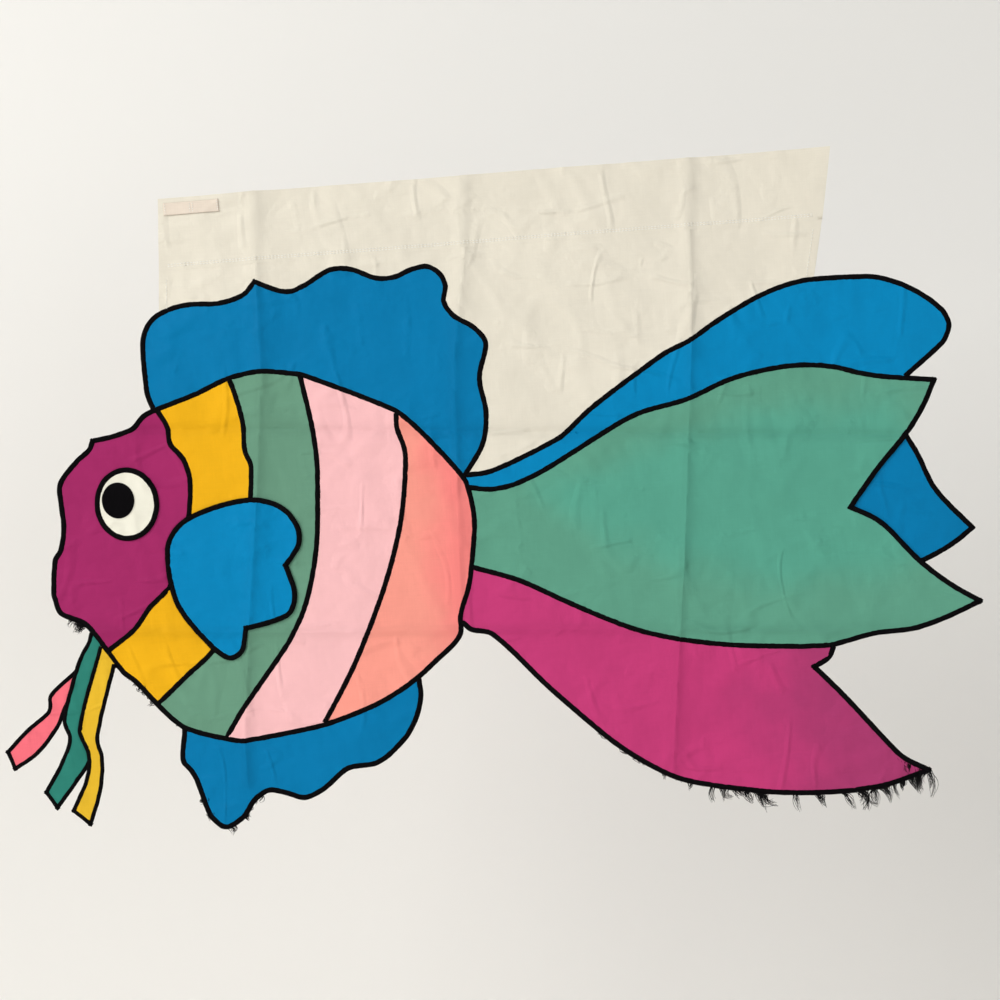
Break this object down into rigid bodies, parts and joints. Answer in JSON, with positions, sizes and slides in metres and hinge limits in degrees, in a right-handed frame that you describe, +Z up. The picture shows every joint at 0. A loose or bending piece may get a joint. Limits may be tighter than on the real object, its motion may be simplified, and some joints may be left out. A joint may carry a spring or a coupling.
{
  "type": "fish-shaped applique streamer flag",
  "caption": "Flat fish streamer of sewn nylon with a white field and pole sleeve, coloured body bands, free-hanging fin and tail flaps and chin barbels",
  "frame": {"origin": "middle of the pole channel, on the axis of a horizontal pole", "axes": "+X along the pole toward the tail, +Y out of the back of the cloth, +Z up"},
  "size_m": [1.0351, 0.0305, 0.6752],
  "materials": {
    "white_nylon": "plain-woven 200 denier nylon, slightly translucent, with a low sheen",
    "white_thread": "lockstitched polyester thread",
    "label_tape": "blank woven label tape",
    "fin_blue_nylon": "plain-woven 200 denier nylon, slightly translucent, with a low sheen",
    "sky_nylon": "plain-woven 200 denier nylon, slightly translucent, with a low sheen",
    "plum_nylon": "plain-woven 200 denier nylon, slightly translucent, with a low sheen",
    "rose_nylon": "plain-woven 200 denier nylon, slightly translucent, with a low sheen",
    "yellow_nylon": "plain-woven 200 denier nylon, slightly translucent, with a low sheen",
    "mint_nylon": "plain-woven 200 denier nylon, slightly translucent, with a low sheen",
    "sea_green_nylon": "plain-woven 200 denier nylon, slightly translucent, with a low sheen",
    "pale_pink_nylon": "plain-woven 200 denier nylon, slightly translucent, with a low sheen",
    "salmon_nylon": "plain-woven 200 denier nylon, slightly translucent, with a low sheen",
    "coral_nylon": "plain-woven 200 denier nylon, slightly translucent, with a low sheen",
    "teal_nylon": "plain-woven 200 denier nylon, slightly translucent, with a low sheen",
    "amber_nylon": "plain-woven 200 denier nylon, slightly translucent, with a low sheen",
    "eye_nylon": "plain-woven 200 denier nylon, slightly translucent, with a low sheen",
    "black_thread": "dense zigzag satin stitch in black thread, rounded and faintly shiny"
  },
  "bodies": {
    "sleeve": {"pole_sleeve": "white_nylon", "sleeve_seam_stitch": "white_thread", "care_label": "label_tape"},
    "flag": {"field": "white_nylon", "field_hem_left": "white_nylon", "field_hem_right": "white_nylon", "dorsal_fin": "fin_blue_nylon", "dorsal_fin_satin": "black_thread", "head_panel": "plum_nylon", "yellow_band": "yellow_nylon", "green_band": "mint_nylon", "pale_pink_band": "pale_pink_nylon", "salmon_band": "salmon_nylon", "head_seam_satin": "black_thread", "yellow_seam_satin": "black_thread", "green_seam_satin": "black_thread", "pink_seam_satin": "black_thread", "body_edge_satin": "black_thread", "eye_white": "eye_nylon", "eye_ring_satin": "black_thread", "pupil_satin": "black_thread", "pectoral_fin": "sky_nylon", "pectoral_fin_satin": "black_thread", "main_tail_lobe": "sea_green_nylon", "main_tail_lobe_satin": "black_thread", "upper_tail_lobe": "sky_nylon", "upper_tail_lobe_satin": "black_thread"},
    "belly_fin": {"belly_fin": "fin_blue_nylon", "belly_fin_satin": "black_thread"},
    "lower_tail_lobe": {"lower_tail_lobe": "rose_nylon", "lower_tail_lobe_satin": "black_thread"},
    "rear_tail_lobe": {"rear_tail_lobe": "fin_blue_nylon", "rear_tail_lobe_satin": "black_thread"},
    "green_barbel": {"green_barbel": "teal_nylon", "green_barbel_satin": "black_thread"},
    "yellow_barbel": {"yellow_barbel": "amber_nylon", "yellow_barbel_satin": "black_thread"},
    "pink_barbel": {"pink_barbel": "coral_nylon", "pink_barbel_satin": "black_thread"}
  },
  "joints": [
    {"name": "flag_swing", "type": "hinge", "parent": "sleeve", "child": "flag", "pos_m": [0, -0.0129, -0.0385], "axis": [1, 0, 0], "range_deg": [-80, 80]},
    {"name": "belly_fin_bend", "type": "hinge", "parent": "flag", "child": "belly_fin", "pos_m": [-0.2465, -0.0129, -0.5375], "axis": [0.9956, 0, 0.0935], "range_deg": [-80, 80]},
    {"name": "lower_tail_lobe_bend", "type": "hinge", "parent": "flag", "child": "lower_tail_lobe", "pos_m": [0.12, -0.0129, -0.456], "axis": [0.9591, 0, -0.2829], "range_deg": [-80, 80]},
    {"name": "rear_tail_lobe_bend", "type": "hinge", "parent": "flag", "child": "rear_tail_lobe", "pos_m": [0.21, -0.0099, -0.236], "axis": [0.9831, 0, 0.183], "range_deg": [0, 60]},
    {"name": "green_barbel_bend", "type": "hinge", "parent": "flag", "child": "green_barbel", "pos_m": [-0.4476, -0.0129, -0.4127], "axis": [0.9074, 0, -0.4202], "range_deg": [-60, 60]},
    {"name": "yellow_barbel_bend", "type": "hinge", "parent": "green_barbel", "child": "yellow_barbel", "pos_m": [-0.4476, -0.0159, -0.4127], "axis": [-0.9074, 0, 0.4202], "range_deg": [0, 60]},
    {"name": "pink_barbel_bend", "type": "hinge", "parent": "green_barbel", "child": "pink_barbel", "pos_m": [-0.4476, -0.0099, -0.4127], "axis": [0.9074, 0, -0.4202], "range_deg": [0, 60]}
  ]
}
